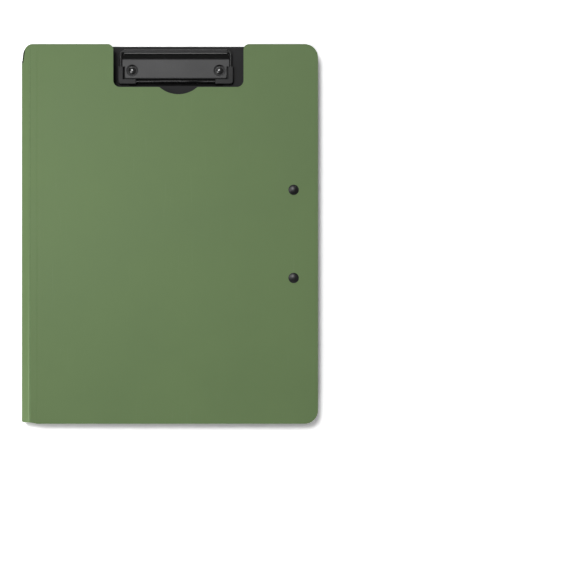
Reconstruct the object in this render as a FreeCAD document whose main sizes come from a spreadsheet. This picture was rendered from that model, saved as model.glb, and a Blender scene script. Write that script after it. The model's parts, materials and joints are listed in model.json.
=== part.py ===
"""A clipboard folder: two stiff boards on a creased spine, with a wire-bail clip on each board.

The folder lies closed on its back, front cover up. X runs from the spine (-X) to the free edge (+X),
Y runs from the bottom edge to the top edge, Z points up. The origin is under the middle of the folder,
on the surface that it lies on. All lengths are millimetres and all angles are degrees.

The folder is one die-cut sheet, a coloured skin on a black core. It folds at four creases, and a score line
beside them lets each board flex. Every panel is drawn flat, inside up, with its first crease, counted from
the back board, at local x = 0, and is then turned about that crease into the closed folder.
"""

import FreeCAD, Part
import math
import os

import Sketcher
from FreeCAD import Placement, Rotation, Vector

# The driving dimensions

SIZES = [
    # the sheet
    ("closed_width", "244", "spine to the cover's free edge, closed"),
    ("sheet_height", "312", "bottom edge to top edge"),
    ("skin", "0.4", "coloured skin on the outside"),
    ("core", "1.4", "black board on the inside"),
    ("corner_round", "11", "corners at the free edges"),
    ("cover_overhang", "3", "front cover beyond the back board at the free edge"),
    # the spine
    ("spine_strip", "6.8", "middle strip, crease to crease"),
    ("inner_strip", "7.4", "slanted strips beside the middle one"),
    ("outer_strip", "6.4", "strips that lie flat with the boards, crease to score line"),
    ("strip_slope", "22", "slant of the inner strips, closed"),
    ("crease_gap", "0.6", "bare film between two panels"),
    ("groove_angle", "38", "slope of the groove's flanks, from upright"),
    ("crease_press", "0.18", "how far the skin is pressed in along the strip creases"),
    ("press_run", "0.6", "run of the pressed slope on each side"),
    ("score_width", "0.9", "score line on the outside"),
    ("score_depth", "0.15", "score line on the outside"),
    ("spine_notch_depth", "15.5", "rounded notch at the top of the spine"),
    ("spine_notch_flare", "2", "how far the notch widens on each inner strip"),
    ("spine_notch_round", "9.3", "shoulders of the notch, which run on over the strip creases"),
    ("skin_trim", "1.1", "how far the skin stops short of the core along the notch"),
    ("skin_trim_foot", "3.3", "how much lower than the core the trimmed skin meets the fold"),
    ("spine_foot_recess", "1", "how much shorter the spine is at the bottom"),
    ("spine_foot_round", "1.8", "lower corners of the strips, at the two folds of the spine"),
    # the thumb notch in the back board
    ("thumb_notch_length", "46", "along the bottom edge"),
    ("thumb_notch_depth", "2.2", "up from the bottom edge"),
    ("thumb_notch_slope", "5", "length of each slanted end"),
    ("thumb_notch_round", "4", "corners of the notch"),
    ("thumb_notch_from_score", "35", "from the back board's score line"),
    # the window in the front cover
    ("window_width", "107", "along the top edge"),
    ("window_depth", "35.3", "down from the top edge"),
    ("window_inner_round", "5.5", "lower corners"),
    ("window_outer_round", "4.5", "corners at the top edge"),
    ("finger_cut_radius", "23.7", "half-moon below the window"),
    ("finger_cut_depth", "6", "half-moon below the window"),
    ("clip_from_edge", "114.7", "middle of the top clip from the free edge"),
    # the clips
    ("clip_sheet", "0.8", "steel of the clip's plate"),
    ("wire_diameter", "2", "wire of the bail"),
    ("barrel_clearance", "0.05", "radial, wire in its barrel"),
    ("barrel_from_edge", "4.45", "barrel's axis from the board's edge"),
    ("barrel_length", "85.2", "rolled barrel"),
    ("curl_angle", "285", "how far the barrel is rolled"),
    ("platform_height", "1.7", "raised flat of the plate above the board"),
    ("platform_start", "6.85", "raised flat, from the barrel's axis"),
    ("platform_slope", "3.2", "run of the slope up to the flat"),
    ("plate_reach", "22.45", "plate's front edge, from the barrel's axis"),
    ("plate_length", "88.4", "plate beside the bare legs"),
    ("plate_nose_length", "84", "plate between the sleeves"),
    ("plate_shoulder", "12.25", "step between the two, from the barrel's axis"),
    ("plate_round", "2", "corners of the plate"),
    ("lip_bend", "0.9", "outer radius of the plate's front edge"),
    ("rivet_spacing", "72.4", "rivet to rivet"),
    ("rivet_from_axis", "15.6", "rivets from the barrel's axis"),
    ("cup_rim_diameter", "10", "drawn cup round each rivet, at the flat"),
    ("cup_floor_diameter", "7", "drawn cup round each rivet, at the board"),
    ("bail_width", "91.2", "leg to leg, wire centres"),
    ("bail_reach", "25", "front run from the barrel's axis, wire centres"),
    ("bail_rear_bend", "2.6", "bends beside the barrel, at the wire's centre"),
    ("bail_front_bend", "3", "bends inside the sleeves, at the wire's centre"),
    ("bail_arch_rise", "1.5", "finger arch in the front run"),
    ("bail_arch_run", "16", "each rise of the arch"),
    ("bail_arch_top", "16", "flat top of the arch"),
    ("bail_end_gap", "0.6", "between the wire's two ends, inside the barrel"),
    ("sleeve_width", "4.2", "sleeve across the wire, along the board"),
    ("sleeve_thickness", "3.5", "sleeve across the wire, off the board"),
    ("sleeve_leg", "14.6", "sleeve along the leg"),
    ("sleeve_front", "14.9", "sleeve along the front run"),
    ("sleeve_round", "2.6", "outer corner of the sleeve"),
    ("sleeve_edge_round", "0.6", "long edges of the sleeve"),
    ("sleeve_clearance", "0.05", "radial, wire in its sleeve"),
    # the rivets
    ("rivet_head_diameter", "8.4", "domed head on the outside"),
    ("rivet_head_height", "1.3", "domed head"),
    ("rivet_cap_diameter", "6.4", "domed cap inside the cup"),
    ("rivet_cap_height", "1.2", "domed cap"),
    ("rivet_rim", "0.35", "upright rim of head and cap"),
    ("rivet_seat_clearance", "0.1", "radial, head in the skin"),
    ("rivet_shank_diameter", "3.2", "shank"),
    ("rivet_hole_clearance", "0.1", "radial, shank in board and plate"),
]

# What follows from them: places in the closed folder, and sizes that two pieces share

WORKED_OUT = [
    ("half_width", "Sizes.closed_width / 2"),
    ("half_height", "Sizes.sheet_height / 2"),
    ("sheet", "Sizes.skin + Sizes.core"),
    ("axis_depth", "Sizes.skin / 2"),
    ("film_edge", "Sizes.crease_gap / 2"),
    ("flank", "Sizes.core * tan(Sizes.groove_angle)"),
    ("bend_spine", "90 - Sizes.strip_slope"),
    ("run_inner", "Sizes.inner_strip * cos(Sizes.strip_slope)"),
    ("rise_inner", "Sizes.inner_strip * sin(Sizes.strip_slope)"),
    # the crease axes, in the middle of the skin
    ("spine_x", "Places.axis_depth - Places.half_width"),
    ("strip_x", "Places.spine_x + Places.run_inner"),
    ("board_x", "Places.strip_x + Sizes.outer_strip"),
    ("back_face", "Sizes.rivet_head_height - Sizes.skin"),
    ("rear_board_z", "Places.back_face + Places.axis_depth"),
    ("rear_spine_z", "Places.rear_board_z + Places.rise_inner"),
    ("front_spine_z", "Places.rear_spine_z + Sizes.spine_strip"),
    ("front_board_z", "Places.front_spine_z + Places.rise_inner"),
    ("back_inside", "Places.back_face + Places.sheet"),
    ("front_inside", "Places.front_board_z + Places.axis_depth - Places.sheet"),
    # the boards, from their score line to their free edge
    ("front_length", "Places.half_width - Places.board_x"),
    ("back_length", "Places.front_length - Sizes.cover_overhang"),
    ("clip_x", "Places.board_x + Places.back_length - Sizes.clip_from_edge"),
    ("notch_side", "Sizes.spine_notch_depth - Sizes.spine_strip / 2"),
    ("notch_foot", "Places.half_height - Places.notch_side"),
    # the notch's edge in the flat sheet, from the fold: a slanted line and the arc that it leads into
    ("notch_run", "Sizes.spine_notch_flare - Places.film_edge"),
    ("notch_round", "Sizes.spine_notch_round"),
    ("notch_slant", "sqrt(Places.notch_run^2 + Places.notch_side^2)"),
    ("notch_span", "Places.notch_round * Places.notch_side / (Places.notch_slant + Places.notch_run)"),
    ("notch_reach", "Places.film_edge + Places.notch_run + Places.notch_span"),
    ("trim_run", "Places.notch_run + Sizes.skin_trim"),
    ("trim_side", "Places.notch_side + Sizes.skin_trim_foot"),
    ("trim_foot", "Places.half_height - Places.trim_side"),
    ("trim_round", "Places.notch_round - Sizes.skin_trim"),
    ("trim_slant", "sqrt(Places.trim_run^2 + Places.trim_side^2)"),
    ("trim_span", "Places.trim_round * Places.trim_side / (Places.trim_slant + Places.trim_run)"),
    ("trim_reach", "Places.film_edge + Places.trim_run + Places.trim_span"),
    ("foot", "Sizes.spine_foot_recess - Places.half_height"),
    ("fold_foot", "Places.foot + Sizes.spine_foot_round"),
    ("thumb_end", "Sizes.thumb_notch_from_score + Sizes.thumb_notch_length"),
    ("thumb_top", "Sizes.thumb_notch_depth - Places.half_height"),
    ("window_x", "Sizes.clip_from_edge - Places.front_length"),
    ("window_left", "Places.window_x - Sizes.window_width / 2"),
    ("window_right", "Places.window_x + Sizes.window_width / 2"),
    ("window_foot", "Places.half_height - Sizes.window_depth"),
    ("finger_cut_y", "Places.window_foot - Sizes.finger_cut_depth + Sizes.finger_cut_radius"),
    # the clips, measured from the board's edge and from its inner face
    ("wire_radius", "Sizes.wire_diameter / 2"),
    ("bore_radius", "Places.wire_radius + Sizes.barrel_clearance"),
    ("barrel_radius", "Places.bore_radius + Sizes.clip_sheet"),
    ("rivet_from_edge", "Sizes.barrel_from_edge + Sizes.rivet_from_axis"),
    ("rivet_side", "Sizes.rivet_spacing / 2"),
    ("leg_side", "Sizes.bail_width / 2"),
    ("front_run", "Sizes.barrel_from_edge + Sizes.bail_reach"),
    ("shank_hole", "Sizes.rivet_shank_diameter / 2 + Sizes.rivet_hole_clearance"),
    ("head_hole", "Sizes.rivet_head_diameter / 2 + Sizes.rivet_seat_clearance"),
]


def fill_sheet(doc, name, rows):
    """A spreadsheet with one aliased cell per row."""
    sheet = doc.addObject("Spreadsheet::Sheet", name)
    for line, (alias, content, *note) in enumerate(rows, start=1):
        sheet.set(f"A{line}", alias)
        sheet.set(f"B{line}", content)
        sheet.setAlias(f"B{line}", alias)
        if note:
            sheet.set(f"C{line}", note[0])
    return sheet


doc = FreeCAD.newDocument("ClipboardFolder")
fill_sheet(doc, "Sizes", SIZES)
fill_sheet(doc, "Places", [(alias, "=" + formula) for alias, formula in WORKED_OUT])
doc.recompute()


def value(expression):
    """An expression over the two sheets, as a plain number."""
    return float(doc.Places.evalExpression(str(expression)))


# Sketches and features


def new_body(name):
    body = doc.addObject("PartDesign::Body", name)
    body.Label = name
    return body


def new_sketch(body, name, plane, lift="0"):
    """A sketch on one of the body's origin planes, lifted off it by an expression."""
    sketch = body.newObject("Sketcher::SketchObject", name)
    face = next(f for f in body.Origin.OriginFeatures if f.Role == plane)
    sketch.AttachmentSupport = [(face, "")]
    sketch.MapMode = "FlatFace"
    sketch.setExpression("AttachmentOffset.Base.z", lift)
    return sketch


def bind(sketch, kind, *geometry, to):
    """A sketch constraint whose size is an expression."""
    index = sketch.addConstraint(Sketcher.Constraint(kind, *geometry, value(to)))
    sketch.setExpression(f"Constraints[{index}]", to)


def draw(sketch, corners, arcs=None, closed=True):
    """An outline through corners, each a pair of expressions, pinned to the sheets.

    arcs maps a corner's number to the radius and a point of the arc that leads on from it."""
    arcs = arcs or {}
    first = sketch.GeometryCount
    points = [Vector(value(x), value(y), 0) for x, y in corners]
    count = len(points) if closed else len(points) - 1
    starts = []
    for i in range(count):
        here, there = points[i], points[(i + 1) % len(points)]
        if i in arcs:
            x, y = arcs[i][1]
            edge = sketch.addGeometry(Part.Arc(here, Vector(value(x), value(y), 0), there))
            bind(sketch, "Radius", edge, to=arcs[i][0])
        else:
            edge = sketch.addGeometry(Part.LineSegment(here, there))
        forward = sketch.getPoint(edge, 1).distanceToPoint(here) < 1e-6
        starts.append((1, 2) if forward else (2, 1))
    for i in range(count if closed else count - 1):
        after = (i + 1) % count
        joined = (first + i, starts[i][1], first + after, starts[after][0])
        sketch.addConstraint(Sketcher.Constraint("Coincident", *joined))
    for i, (x, y) in enumerate(corners):
        pin = (first + i, starts[i][0]) if i < count else (first + count - 1, starts[-1][1])
        bind(sketch, "DistanceX", -1, 1, *pin, to=x)
        bind(sketch, "DistanceY", -1, 1, *pin, to=y)


def circles(sketch, centres, radius):
    for number, (x, y) in enumerate(centres):
        sketch.addGeometry(Part.Circle(Vector(value(x), value(y), 0), Vector(0, 0, 1), value(radius)))
        bind(sketch, "Radius", number, to=radius)
        bind(sketch, "DistanceX", -1, 1, number, 3, to=x)
        bind(sketch, "DistanceY", -1, 1, number, 3, to=y)


def pad(body, sketch, length, side="One side"):
    feature = body.newObject("PartDesign::Pad", "Pad")
    feature.Profile = sketch
    feature.SideType = side
    feature.setExpression("Length", length)
    doc.recompute()
    return feature


def pocket(body, sketch):
    """A cut right through the body, both ways from the sketch. It has to take something away."""
    before = body.Shape.Volume
    feature = body.newObject("PartDesign::Pocket", "Pocket")
    feature.Profile = sketch
    feature.Type = "ThroughAll"
    feature.SideType = "Symmetric"
    doc.recompute()
    if not body.Shape.Volume < before:
        raise RuntimeError(f"{body.Label}: {sketch.Name} cuts nothing")
    return feature


def upright_edges(shape, places):
    """The names of the edges along Z that stand at these places."""
    names = []
    for x, y in places:
        spot = Vector(value(x), value(y), 0)
        for number, edge in enumerate(shape.Edges, start=1):
            ends = [Vector(v.X, v.Y, 0) for v in edge.Vertexes]
            if len(ends) == 2 and all(end.distanceToPoint(spot) < 1e-4 for end in ends):
                names.append(f"Edge{number}")
    return names


def fillet(body, radius, places=None, edges=None):
    """Rounds the upright edges at these places, or the named edges."""
    base = body.Tip
    feature = body.newObject("PartDesign::Fillet", "Fillet")
    feature.Base = (base, edges or upright_edges(base.Shape, places))
    feature.setExpression("Radius", radius)
    doc.recompute()
    return feature


def set_place(body, x, y, z, axis=Vector(0, 1, 0), angle="0"):
    """Turns a body about an axis through its own origin, then moves that origin to x, y, z."""
    body.Placement = Placement(Vector(), Rotation(axis, value(angle)))
    for path, expression in (
        ("Placement.Base.x", x),
        ("Placement.Base.y", y),
        ("Placement.Base.z", z),
        ("Placement.Rotation.Angle", angle),
    ):
        body.setExpression(path, expression)


# The panels of the sheet

TOP = "Places.half_height"
BOTTOM = "-Places.half_height"
FOOT = "Places.foot"
NOTCH_FOOT = "Places.notch_foot"
NEAR = "-Places.film_edge"  # a strip's end at its own crease
REAR = ("Places.board_x", "Places.rear_board_z", "0")
FRONT = ("Places.board_x", "Places.front_board_z", "180")


def far(length):
    """A strip's other end."""
    return f"Places.film_edge - Sizes.{length}"


def layer(name, outline, crease, rounds=(), holes=(), arcs=None):
    """One panel's skin or core, whichever the name ends in, turned about its crease.

    crease is the axis' x and z and the turn about it. rounds has (radius, corners), and holes has (centres,
    radius in the skin, radius in the core). arcs is as in draw."""
    skin = name.endswith("skin")
    body = new_body(name)
    sketch = new_sketch(body, "Outline", "XY_Plane", "0" if skin else "Sizes.skin")
    draw(sketch, outline, arcs)
    pad(body, sketch, "Sizes.skin" if skin else "Sizes.core")
    for radius, corners in rounds:
        fillet(body, radius, corners)
    for centres, skin_radius, core_radius in holes:
        sketch = new_sketch(body, "Holes", "XY_Plane")
        circles(sketch, centres, skin_radius if skin else core_radius)
        pocket(body, sketch)
    x, z, turn = crease
    set_place(
        body,
        f"{x} - Places.axis_depth * sin({turn})",
        "0",
        f"{z} - Places.axis_depth * cos({turn})",
        angle=turn,
    )
    return body


def score(body):
    """A shallow V along local x = 0 on the outside of a board's skin."""
    sketch = new_sketch(body, "Score", "XZ_Plane")
    half = "Sizes.score_width / 2"
    draw(sketch, [(f"-{half}", "0"), (half, "0"), ("0", "Sizes.score_depth")])
    pocket(body, sketch)


def press(body, end, way):
    """One side of a crease on the outside of a skin: a slope that is pressed in towards the skin's end."""
    sketch = new_sketch(body, "Press", "XZ_Plane")
    draw(sketch, [(end, "0"), (f"{end} + {way} * Sizes.press_run", "0"), (end, "Sizes.crease_press")])
    pocket(body, sketch)


def groove(body, ends):
    """One flank of the inside V-groove at each end of a core; way is the way that the flank leans."""
    for end, way in ends:
        sketch = new_sketch(body, "Groove", "XZ_Plane")
        lip = (f"{end} + {way} * Places.flank", "Places.sheet")
        draw(sketch, [(end, "Sizes.skin"), (end, "Places.sheet"), lip])
        pocket(body, sketch)


EDGES = {"core": "notch", "skin": "trim"}  # the edge that a panel's core and its skin follow at the notch


def shoulder(edge, reach):
    """The height of the notch's arc at a reach from the fold, in the flat sheet."""
    radius = f"Places.{edge}_round"
    return f"{TOP} - {radius} + sqrt({radius}^2 - (Places.{edge}_reach - {reach})^2)"


def shoulder_arc(edge, start, end, place):
    """Two ends of a piece of that arc, with its radius and middle; place turns a reach into a local x."""
    first, middle, last = [(place(u), shoulder(edge, u)) for u in (start, f"({start} + {end}) / 2", end)]
    return first, last, (f"Places.{edge}_round", middle)


def inner_strip(side, crease):
    """A slanted strip, grooved inside and pressed outside; at the notch its skin stops short of its core."""
    end = far("inner_strip")
    at_crease = "(Sizes.inner_strip - Places.film_edge)"
    made = {}
    for part, edge in EDGES.items():
        tangent = f"(Places.{edge}_reach - Places.{edge}_round * Places.{edge}_side / Places.{edge}_slant)"
        notch_foot = f"Places.{edge}_foot"
        if side == "rear":
            fold, board_crease = end, (NEAR, -1)
            high, low, arc = shoulder_arc(edge, at_crease, tangent, lambda u: f"{u} - Sizes.inner_strip")
            upper, arcs = [high, low, (end, notch_foot)], {2: arc}
        else:
            fold, board_crease = NEAR, (end, 1)
            low, high, arc = shoulder_arc(edge, tangent, at_crease, lambda u: f"-({u})")
            upper, arcs = [(NEAR, notch_foot), low, high], {3: arc}
        outline = [(end, FOOT), (NEAR, FOOT), *upper]
        rounds = [("Sizes.spine_foot_round", [(fold, FOOT)])]
        made[part] = layer(f"{side}_inner_strip_{part}", outline, crease, rounds, arcs=arcs)
    groove(made["core"], [(NEAR, -1), (end, 1)])
    press(made["skin"], *board_crease)


def outer_strip_shoulder(part, way):
    """The end of the notch's arc, on a board's outer strip; way is +1 where local x runs from the fold."""
    edge = EDGES[part]
    score_line = "(Sizes.inner_strip + Sizes.outer_strip)"
    past_crease = "(Sizes.inner_strip + Places.film_edge)"
    return shoulder_arc(edge, f"Places.{edge}_reach", past_crease, lambda u: f"{way} * ({u} - {score_line})")


def rivet_row(x, y, along_x):
    """The centres of a clip's two rivets."""
    if along_x:
        return [(f"{x} - Places.rivet_side", y), (f"{x} + Places.rivet_side", y)]
    return [(x, "-Places.rivet_side"), (x, "Places.rivet_side")]


thumb_corners = [
    ("Sizes.thumb_notch_from_score", BOTTOM),
    ("Sizes.thumb_notch_from_score + Sizes.thumb_notch_slope", "Places.thumb_top"),
    ("Places.thumb_end - Sizes.thumb_notch_slope", "Places.thumb_top"),
    ("Places.thumb_end", BOTTOM),
]
back_corners = [("Places.back_length", BOTTOM), ("Places.back_length", TOP)]
back_rounds = [("Sizes.corner_round", back_corners), ("Sizes.thumb_notch_round", thumb_corners)]
back_rivets = rivet_row(
    "Places.back_length - Sizes.clip_from_edge", "Places.half_height - Places.rivet_from_edge", along_x=True
)
back_holes = [(back_rivets, "Places.head_hole", "Places.shank_hole")]
strip_end = far("outer_strip")
top_end, crease_end, arc = outer_strip_shoulder("skin", 1)
outline = [crease_end, (strip_end, FOOT), ("0", BOTTOM), *thumb_corners, *back_corners, top_end]
arcs = {len(outline) - 1: arc}
skin = layer("back_board_skin", outline, REAR, back_rounds, back_holes, arcs)
score(skin)
press(skin, strip_end, 1)
core = layer(
    "back_board_core",
    [("Places.film_edge", BOTTOM), *thumb_corners, *back_corners, ("Places.film_edge", TOP)],
    REAR,
    back_rounds,
    back_holes,
)
groove(core, [("Places.film_edge", 1)])
top_end, crease_end, arc = outer_strip_shoulder("core", 1)
outline = [crease_end, (strip_end, FOOT), (NEAR, BOTTOM), (NEAR, TOP), top_end]
core = layer("rear_outer_strip_core", outline, REAR, arcs={4: arc})
groove(core, [(NEAR, -1), (strip_end, 1)])

inner_strip("rear", ("Places.strip_x", "Places.rear_board_z", "Sizes.strip_slope"))
spine_crease = ("Places.spine_x", "Places.rear_spine_z", "90")
spine_feet = [(far("spine_strip"), FOOT), (NEAR, FOOT)]
spine_outline = [*spine_feet, (NEAR, NOTCH_FOOT), (far("spine_strip"), NOTCH_FOOT)]
spine_rounds = [("Sizes.spine_foot_round", spine_feet)]
spine_notch = [([("-Sizes.spine_strip / 2", NOTCH_FOOT)], "Sizes.spine_strip / 2", "Sizes.spine_strip / 2")]
layer("spine_strip_skin", spine_outline, spine_crease, spine_rounds, spine_notch)
core = layer("spine_strip_core", spine_outline, spine_crease, spine_rounds, spine_notch)
groove(core, [(NEAR, -1), (far("spine_strip"), 1)])
inner_strip("front", ("Places.spine_x", "Places.front_spine_z", "180 - Sizes.strip_slope"))

window_rim = [("Places.window_right", TOP), ("Places.window_left", TOP)]
window_base = [("Places.window_right", "Places.window_foot"), ("Places.window_left", "Places.window_foot")]
front_corners = [("-Places.front_length", TOP), ("-Places.front_length", BOTTOM)]
front_edge = [window_rim[0], *window_base, window_rim[1], *front_corners]
front_rounds = [
    ("Sizes.corner_round", front_corners),
    ("Sizes.window_inner_round", window_base),
    ("Sizes.window_outer_round", window_rim),
]
front_rivets = rivet_row("Places.rivet_from_edge - Places.front_length", "0", along_x=False)
front_holes = [
    (front_rivets, "Places.head_hole", "Places.shank_hole"),
    ([("Places.window_x", "Places.finger_cut_y")], "Sizes.finger_cut_radius", "Sizes.finger_cut_radius"),
]
strip_end = "Sizes.outer_strip - Places.film_edge"
top_end, crease_end, arc = outer_strip_shoulder("core", -1)
outline = [crease_end, (strip_end, FOOT), ("Places.film_edge", BOTTOM), ("Places.film_edge", TOP), top_end]
core = layer("front_outer_strip_core", outline, FRONT, arcs={4: arc})
groove(core, [("Places.film_edge", 1), (strip_end, -1)])
core = layer("front_cover_core", [(NEAR, BOTTOM), (NEAR, TOP), *front_edge], FRONT, front_rounds, front_holes)
groove(core, [(NEAR, -1)])
top_end, crease_end, arc = outer_strip_shoulder("skin", -1)
outline = [top_end, crease_end, (strip_end, FOOT), ("0", BOTTOM), *reversed(front_edge)]
skin = layer("front_cover_skin", outline, FRONT, front_rounds, front_holes, {0: arc})
score(skin)
press(skin, strip_end, -1)

# The living hinges: the skin alone, bent round each crease


def hinge(name, bend, crease, foot, top, pressed="0"):
    """A strip of skin between two panels, bent evenly and flush with both; pressed makes it thinner."""
    x, z, turn = crease
    half = f"({bend}) / 2"
    middle = f"Places.film_edge / tan({half})"
    outer = f"({middle} + Places.axis_depth - {pressed})"
    inner = f"({middle} - Places.axis_depth)"
    centre = f"(Places.film_edge / sin({half}))"
    body = new_body(name)
    sketch = new_sketch(body, "Bend", "XZ_Plane", lift=f"-({foot})")
    draw(
        sketch,
        [
            (f"-{outer} * sin({half})", f"{centre} - {outer} * cos({half})"),
            (f"{outer} * sin({half})", f"{centre} - {outer} * cos({half})"),
            (f"{inner} * sin({half})", f"{centre} - {inner} * cos({half})"),
            (f"-{inner} * sin({half})", f"{centre} - {inner} * cos({half})"),
        ],
        arcs={
            0: (outer, ("0", f"{centre} - {outer}")),
            2: (inner, ("0", f"{centre} - {inner}")),
        },
    )
    feature = pad(body, sketch, f"{top} - ({foot})")
    feature.Reversed = True
    set_place(body, x, "0", z, angle=turn)


STRIP_MID = "Sizes.strip_slope / 2"
SPINE_MID = "(Sizes.strip_slope + Places.bend_spine / 2)"
film_top = shoulder("trim", "Sizes.inner_strip")
for side, turn in (("rear", "{}"), ("front", "180 - {}")):
    strip_axis = ("Places.strip_x", f"Places.{side}_board_z", turn.format(STRIP_MID))
    spine_axis = ("Places.spine_x", f"Places.{side}_spine_z", turn.format(SPINE_MID))
    hinge(f"{side}_strip_hinge", "Sizes.strip_slope", strip_axis, FOOT, film_top, "Sizes.crease_press")
    hinge(f"{side}_spine_hinge", "Places.bend_spine", spine_axis, "Places.fold_foot", "Places.trim_foot")

# The clips. Each is drawn with its board flat, inside up, the board's edge along local y = 0 and the board's
# inner face at local z = 0. The top clip is moved straight to its place, and the side clip is turned over
# onto the front cover.

CLIPS = {
    "top_clip": (("Places.clip_x", TOP, "Places.back_inside"), "0"),
    "side_clip": (("Places.half_width", "0", "Places.front_inside"), "180"),
}
TURN_OVER = Vector(1, 1, 0)


def ahead(distance):
    """Local y of a point this far ahead of the barrel's axis, towards the paper."""
    return f"-Sizes.barrel_from_edge - ({distance})"


def clip_plate(name):
    """The stamped plate: rolled barrel, valley, raised flat with a front lip, and two drawn rivet cups."""
    body = new_body(name)
    sketch = new_sketch(body, "Section", "YZ_Plane")

    def on_curl(radius, angle):
        return ahead(f"-{radius} * sin({angle})"), f"Places.barrel_radius - {radius} * cos({angle})"

    under_flat = "Sizes.platform_height - Sizes.clip_sheet"
    inside_lip = ahead("Sizes.plate_reach - Sizes.clip_sheet")
    step = "Sizes.platform_start - Sizes.platform_slope + Sizes.clip_sheet"
    bend_mid = "(1 - cos(45)) * Sizes.lip_bend"
    lip_mid = (ahead(f"Sizes.plate_reach - {bend_mid}"), f"Sizes.platform_height - {bend_mid}")
    draw(
        sketch,
        [
            (ahead("0"), "0"),
            (ahead(step), "0"),
            (ahead(f"{step} + Sizes.platform_slope"), under_flat),
            (inside_lip, under_flat),
            (inside_lip, "0"),
            (ahead("Sizes.plate_reach"), "0"),
            (ahead("Sizes.plate_reach"), "Sizes.platform_height - Sizes.lip_bend"),
            (ahead("Sizes.plate_reach - Sizes.lip_bend"), "Sizes.platform_height"),
            (ahead("Sizes.platform_start"), "Sizes.platform_height"),
            (ahead("Sizes.platform_start - Sizes.platform_slope"), "Sizes.clip_sheet"),
            (ahead("0"), "Sizes.clip_sheet"),
            on_curl("Places.bore_radius", "Sizes.curl_angle"),
            on_curl("Places.barrel_radius", "Sizes.curl_angle"),
        ],
        arcs={
            6: ("Sizes.lip_bend", lip_mid),
            10: ("Places.bore_radius", on_curl("Places.bore_radius", "Sizes.curl_angle / 2")),
            12: ("Places.barrel_radius", on_curl("Places.barrel_radius", "Sizes.curl_angle / 2")),
        },
    )
    pad(body, sketch, "Sizes.plate_length", "Symmetric")
    ends = new_sketch(body, "Ends", "XY_Plane")
    for side in (-1, 1):
        trim_end(ends, side)
    pocket(body, ends)
    openings = new_sketch(body, "CupOpenings", "XY_Plane")
    circles(openings, rivet_row("0", "-Places.rivet_from_edge", along_x=True), "Sizes.cup_rim_diameter / 2")
    pocket(body, openings)
    for side in (-1, 1):
        drawn_cup(body, f"{side} * Places.rivet_side", side)
    return body


def trim_end(sketch, side):
    """What is cut off one end of the plate: beside the barrel, and beside the nose with its round corner."""
    round_barrel = "(Places.barrel_radius + Places.wire_radius)"
    barrel_end, nose_end = f"{side} * Sizes.barrel_length / 2", f"{side} * Sizes.plate_nose_length / 2"
    beyond = f"{side} * (Sizes.plate_length / 2 + Sizes.clip_sheet)"
    rear, front = ahead(f"-{round_barrel}"), ahead(round_barrel)
    draw(sketch, [(barrel_end, rear), (beyond, rear), (beyond, front), (barrel_end, front)])
    shoulder, tip = ahead("Sizes.plate_shoulder"), ahead("Sizes.plate_reach")
    past_tip = ahead("Sizes.plate_reach + Sizes.clip_sheet")
    inset = f"{nose_end} - {side} * Sizes.plate_round"
    mid = "(1 - cos(45)) * Sizes.plate_round"
    draw(
        sketch,
        [
            (nose_end, shoulder),
            (beyond, shoulder),
            (beyond, past_tip),
            (inset, past_tip),
            (inset, tip),
            (nose_end, f"{tip} + Sizes.plate_round"),
        ],
        arcs={4: ("Sizes.plate_round", (f"{nose_end} - {side} * {mid}", f"{tip} + {mid}"))},
    )


def drawn_cup(body, axis_x, side):
    """A dished cup that seats a rivet's cap below the plate's raised flat."""
    sketch = new_sketch(body, "Cup", "XZ_Plane", lift="Places.rivet_from_edge")

    def at(radius, height):
        return f"{axis_x} + {side} * ({radius})", height

    rim, floor = "Sizes.cup_rim_diameter / 2", "Sizes.cup_floor_diameter / 2"
    skirt = "Sizes.clip_sheet / 2"
    draw(
        sketch,
        [
            at("Places.shank_hole", "0"),
            at(f"{floor} + {skirt}", "0"),
            at(f"{rim} + {skirt}", "Sizes.platform_height - Sizes.clip_sheet"),
            at(f"{rim} + {skirt}", "Sizes.platform_height"),
            at(rim, "Sizes.platform_height"),
            at(floor, "Sizes.clip_sheet"),
            at("Places.shank_hole", "Sizes.clip_sheet"),
        ],
    )
    foot, head = Vector(value(axis_x), 0, 0), Vector(value(axis_x), value("Sizes.platform_height"), 0)
    axis = sketch.addGeometry(Part.LineSegment(foot, head), True)
    for end, height in ((1, "0"), (2, "Sizes.platform_height")):
        bind(sketch, "DistanceX", -1, 1, axis, end, to=axis_x)
        bind(sketch, "DistanceY", -1, 1, axis, end, to=height)
    feature = body.newObject("PartDesign::Revolution", "DrawnCup")
    feature.Profile = sketch
    feature.ReferenceAxis = (sketch, ["Axis0"])
    doc.recompute()


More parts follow.
